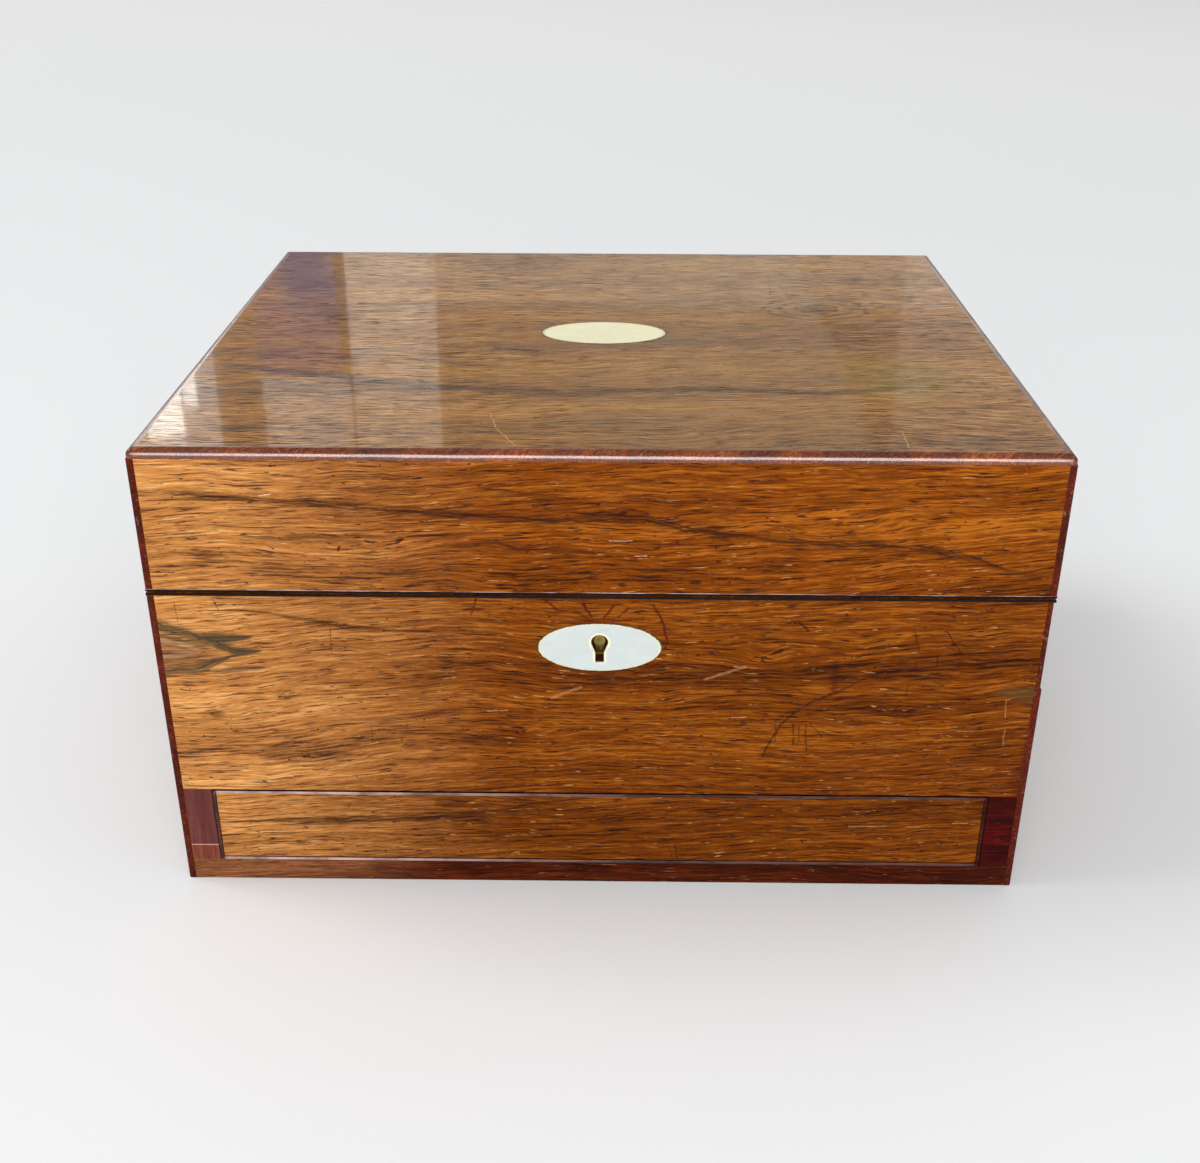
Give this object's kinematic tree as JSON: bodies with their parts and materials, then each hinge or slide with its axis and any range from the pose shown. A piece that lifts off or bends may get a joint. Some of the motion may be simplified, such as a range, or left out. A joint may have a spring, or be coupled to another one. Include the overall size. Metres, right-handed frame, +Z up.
{
  "type": "vanity box",
  "caption": "Veneered vanity box with a hinged lid, pearl oval and keyhole plate, lift-out tray, mirror in the lid, and a flush drawer in its base held by a pin.",
  "frame": {"origin": "middle of the flat underside that the box stands on", "axes": "+X to the right seen from the front, +Y to the back where the hinges are, +Z up; the keyhole faces -Y"},
  "size_m": [0.305, 0.2582, 0.1711],
  "materials": {
    "rosewood": "old polish over rosewood veneer",
    "edging": "polished red-brown edging",
    "purple_wood": "polished purple-brown facing",
    "red_wood": "polished dark red facing",
    "mahogany": "oiled mahogany",
    "pearl": "polished mother of pearl",
    "brass": "tarnished brass",
    "steel": "blued steel",
    "velvet": "worn wine-red velvet",
    "mirror": "silvered glass",
    "backing": "bare thin board"
  },
  "bodies": {
    "case": {"side_boards": "mahogany", "front_board": "mahogany", "back_board": "mahogany", "bottom_board": "mahogany", "dust_board": "mahogany", "front_veneer": "rosewood", "base_side_veneers": "rosewood", "left_stile_facing": "purple_wood", "right_stile_facing": "red_wood", "bottom_rail_veneer": "rosewood", "base_corner_edging": "edging", "base_rim_veneer": "rosewood", "escutcheon": "pearl", "lock_case": "brass", "lock_cap": "brass", "lock_drill_pin": "brass", "base_hinge_leaves": "brass", "hinge_pins": "steel", "case_screws": "brass", "floor_lining": "velvet", "tray_bearers": "velvet", "pin_guide": "brass", "drawer_spring": "steel"},
    "lid": {"lid_side_rails": "mahogany", "lid_front_rail": "mahogany", "lid_back_rail": "mahogany", "lid_top_board": "mahogany", "lid_top_veneer": "rosewood", "lid_front_veneer": "rosewood", "lid_side_veneers": "rosewood", "lid_moulding": "edging", "lid_corner_edging": "edging", "lid_rim_veneer": "rosewood", "lid_cartouche": "pearl", "link_plate": "brass", "lid_hinge_leaves": "brass", "lid_screws": "brass", "lid_lining": "velvet", "mirror_frame": "mahogany", "mirror_glass": "mirror", "mirror_back": "backing", "mirror_keepers": "mahogany"},
    "mirror_button": {"mirror_button": "brass"},
    "drawer": {"drawer_front": "mahogany", "drawer_sides": "mahogany", "drawer_back": "mahogany", "drawer_bottom": "mahogany", "drawer_front_veneer": "rosewood", "drawer_bead": "edging", "drawer_lining": "velvet", "drawer_dividers": "mahogany", "drawer_pin_bush": "brass"},
    "tray": {"tray_walls": "mahogany", "tray_bottom": "mahogany", "tray_partitions": "mahogany", "tray_lining": "velvet", "tray_pulls": "brass", "pin_cushion": "velvet"},
    "lock_bolt": {"lock_bolt": "brass"},
    "release_pin": {"release_pin": "brass"}
  },
  "joints": [
    {"name": "lid_hinge", "type": "hinge", "parent": "case", "child": "lid", "pos_m": [0, 0.1278, 0.1195], "axis": [-1, 0, 0], "range_deg": [0, 95]},
    {"name": "drawer_slide", "type": "slide", "parent": "case", "child": "drawer", "axis": [0, -1, 0], "range_m": [0, 0.15]},
    {"name": "tray_lift", "type": "slide", "parent": "case", "child": "tray", "axis": [0, 0, 1], "range_m": [0, 0.025]},
    {"name": "bolt_slide", "type": "slide", "parent": "case", "child": "lock_bolt", "axis": [1, 0, 0], "range_m": [0, 0.004]},
    {"name": "pin_drop", "type": "slide", "parent": "case", "child": "release_pin", "axis": [0, 0, 1], "range_m": [-0.006, 0]},
    {"name": "button_turn", "type": "hinge", "parent": "lid", "child": "mirror_button", "pos_m": [0, -0.0993, 0.1539], "axis": [0, 0, 1], "range_deg": [0, 90]}
  ]
}
